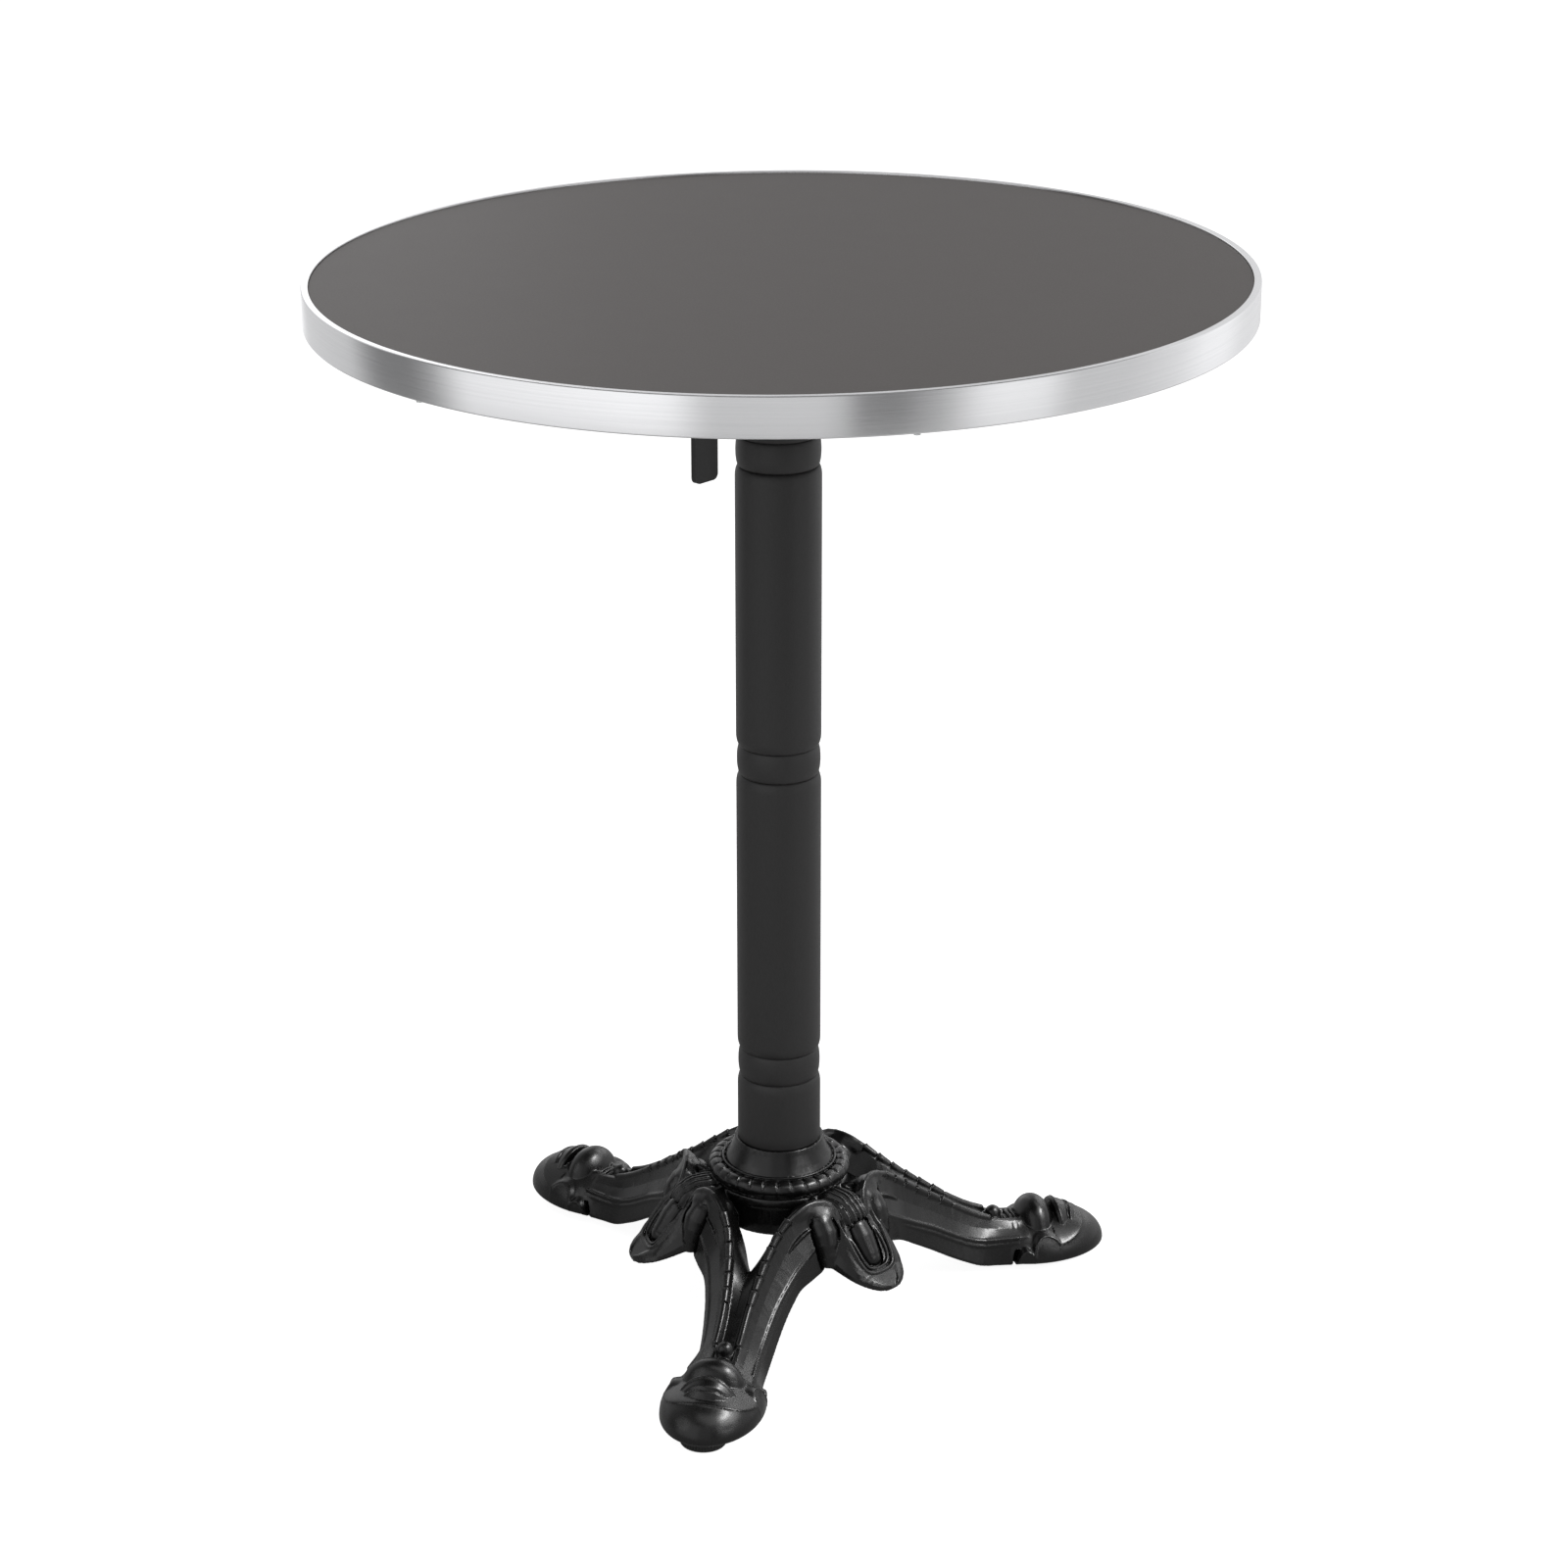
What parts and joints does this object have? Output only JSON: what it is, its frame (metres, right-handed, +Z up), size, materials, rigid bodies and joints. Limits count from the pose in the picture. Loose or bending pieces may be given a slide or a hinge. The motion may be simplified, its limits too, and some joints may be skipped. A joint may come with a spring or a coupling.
{
  "type": "flip-top bistro table",
  "caption": "Round bistro table: grey laminate top with aluminium band, flip-top hinge and release lever, beaded black column, ornate three-footed cast base with levelling glides.",
  "frame": {"origin": "on the floor, on the column's axis, which is the centre of the top", "axes": "+Z up; -Y towards the side with the release lever; the flip-top hinge runs along X, behind the column at +Y"},
  "size_m": [0.5999, 0.6, 0.72],
  "materials": {
    "laminate_grey": "dark warm grey satin laminate with a fine leathered grain",
    "core_board": "raw particle board edge",
    "balance_black": "matt black balance sheet",
    "band_aluminium": "aluminium brushed round the rim, satin, with bright lip",
    "zinc_steel": "zinc plated steel",
    "spring_steel": "oiled spring steel",
    "frame_black": "black satin powder coat on pressed steel",
    "column_black": "black fine textured powder coat, matt",
    "cast_black": "black satin gloss enamel over cast iron",
    "lever_black": "black powder coat, matt",
    "bush_nylon": "natural nylon",
    "bumper_rubber": "matt black rubber",
    "glide_plastic": "matt black nylon"
  },
  "bodies": {
    "pedestal": {"base_casting": "cast_black", "column": "column_black", "tie_rod": "zinc_steel", "tie_rod_washers": "zinc_steel", "tie_rod_nuts": "zinc_steel", "tilt_head": "cast_black", "head_bumpers": "bumper_rubber", "hinge_bushes": "bush_nylon"},
    "table_top": {"top_laminate": "laminate_grey", "top_core": "core_board", "balance_laminate": "balance_black", "edge_band": "band_aluminium", "band_screws": "zinc_steel", "top_frame": "frame_black", "frame_screws": "zinc_steel", "hinge_pin": "zinc_steel", "hinge_clips": "spring_steel", "latch_pin": "zinc_steel", "latch_spring": "spring_steel"},
    "release_lever": {"latch_lever": "lever_black"},
    "front_glide_foot": {"front_glide_pad": "glide_plastic"},
    "front_glide_screw": {"front_glide_stud": "zinc_steel"},
    "right_glide_foot": {"right_glide_pad": "glide_plastic"},
    "right_glide_screw": {"right_glide_stud": "zinc_steel"},
    "left_glide_foot": {"left_glide_pad": "glide_plastic"},
    "left_glide_screw": {"left_glide_stud": "zinc_steel"}
  },
  "joints": [
    {"name": "top_tilt", "type": "hinge", "parent": "pedestal", "child": "table_top", "pos_m": [0, 0.052, 0.683], "axis": [-1, 0, 0], "range_deg": [0, 90]},
    {"name": "lever_pull", "type": "hinge", "parent": "table_top", "child": "release_lever", "pos_m": [0, -0.0676, 0.684], "axis": [-1, 0, 0], "range_deg": [0, 40], "stiffness_Nm_per_rad": 0.25, "springref_deg": -17.19, "deforming": ["latch_spring"]},
    {"name": "front_glide_travel", "type": "slide", "parent": "pedestal", "child": "front_glide_foot", "axis": [0, 0, -1], "range_m": [0, 0.009]},
    {"name": "front_glide_turn", "type": "hinge", "parent": "front_glide_foot", "child": "front_glide_screw", "pos_m": [0.1075, -0.18619, 0.02], "axis": [0, 0, -1], "range_deg": [0, 2160]},
    {"name": "right_glide_travel", "type": "slide", "parent": "pedestal", "child": "right_glide_foot", "axis": [0, 0, -1], "range_m": [0, 0.009]},
    {"name": "right_glide_turn", "type": "hinge", "parent": "right_glide_foot", "child": "right_glide_screw", "pos_m": [0.1075, 0.18619, 0.02], "axis": [0, 0, -1], "range_deg": [0, 2160]},
    {"name": "left_glide_travel", "type": "slide", "parent": "pedestal", "child": "left_glide_foot", "axis": [0, 0, -1], "range_m": [0, 0.009]},
    {"name": "left_glide_turn", "type": "hinge", "parent": "left_glide_foot", "child": "left_glide_screw", "pos_m": [-0.215, 0, 0.02], "axis": [0, 0, -1], "range_deg": [0, 2160]}
  ],
  "couplings": [
    {"joint": "front_glide_turn", "follows": "front_glide_travel", "rad_per_m": 4188.8},
    {"joint": "right_glide_turn", "follows": "right_glide_travel", "rad_per_m": 4188.8},
    {"joint": "left_glide_turn", "follows": "left_glide_travel", "rad_per_m": 4188.8}
  ]
}
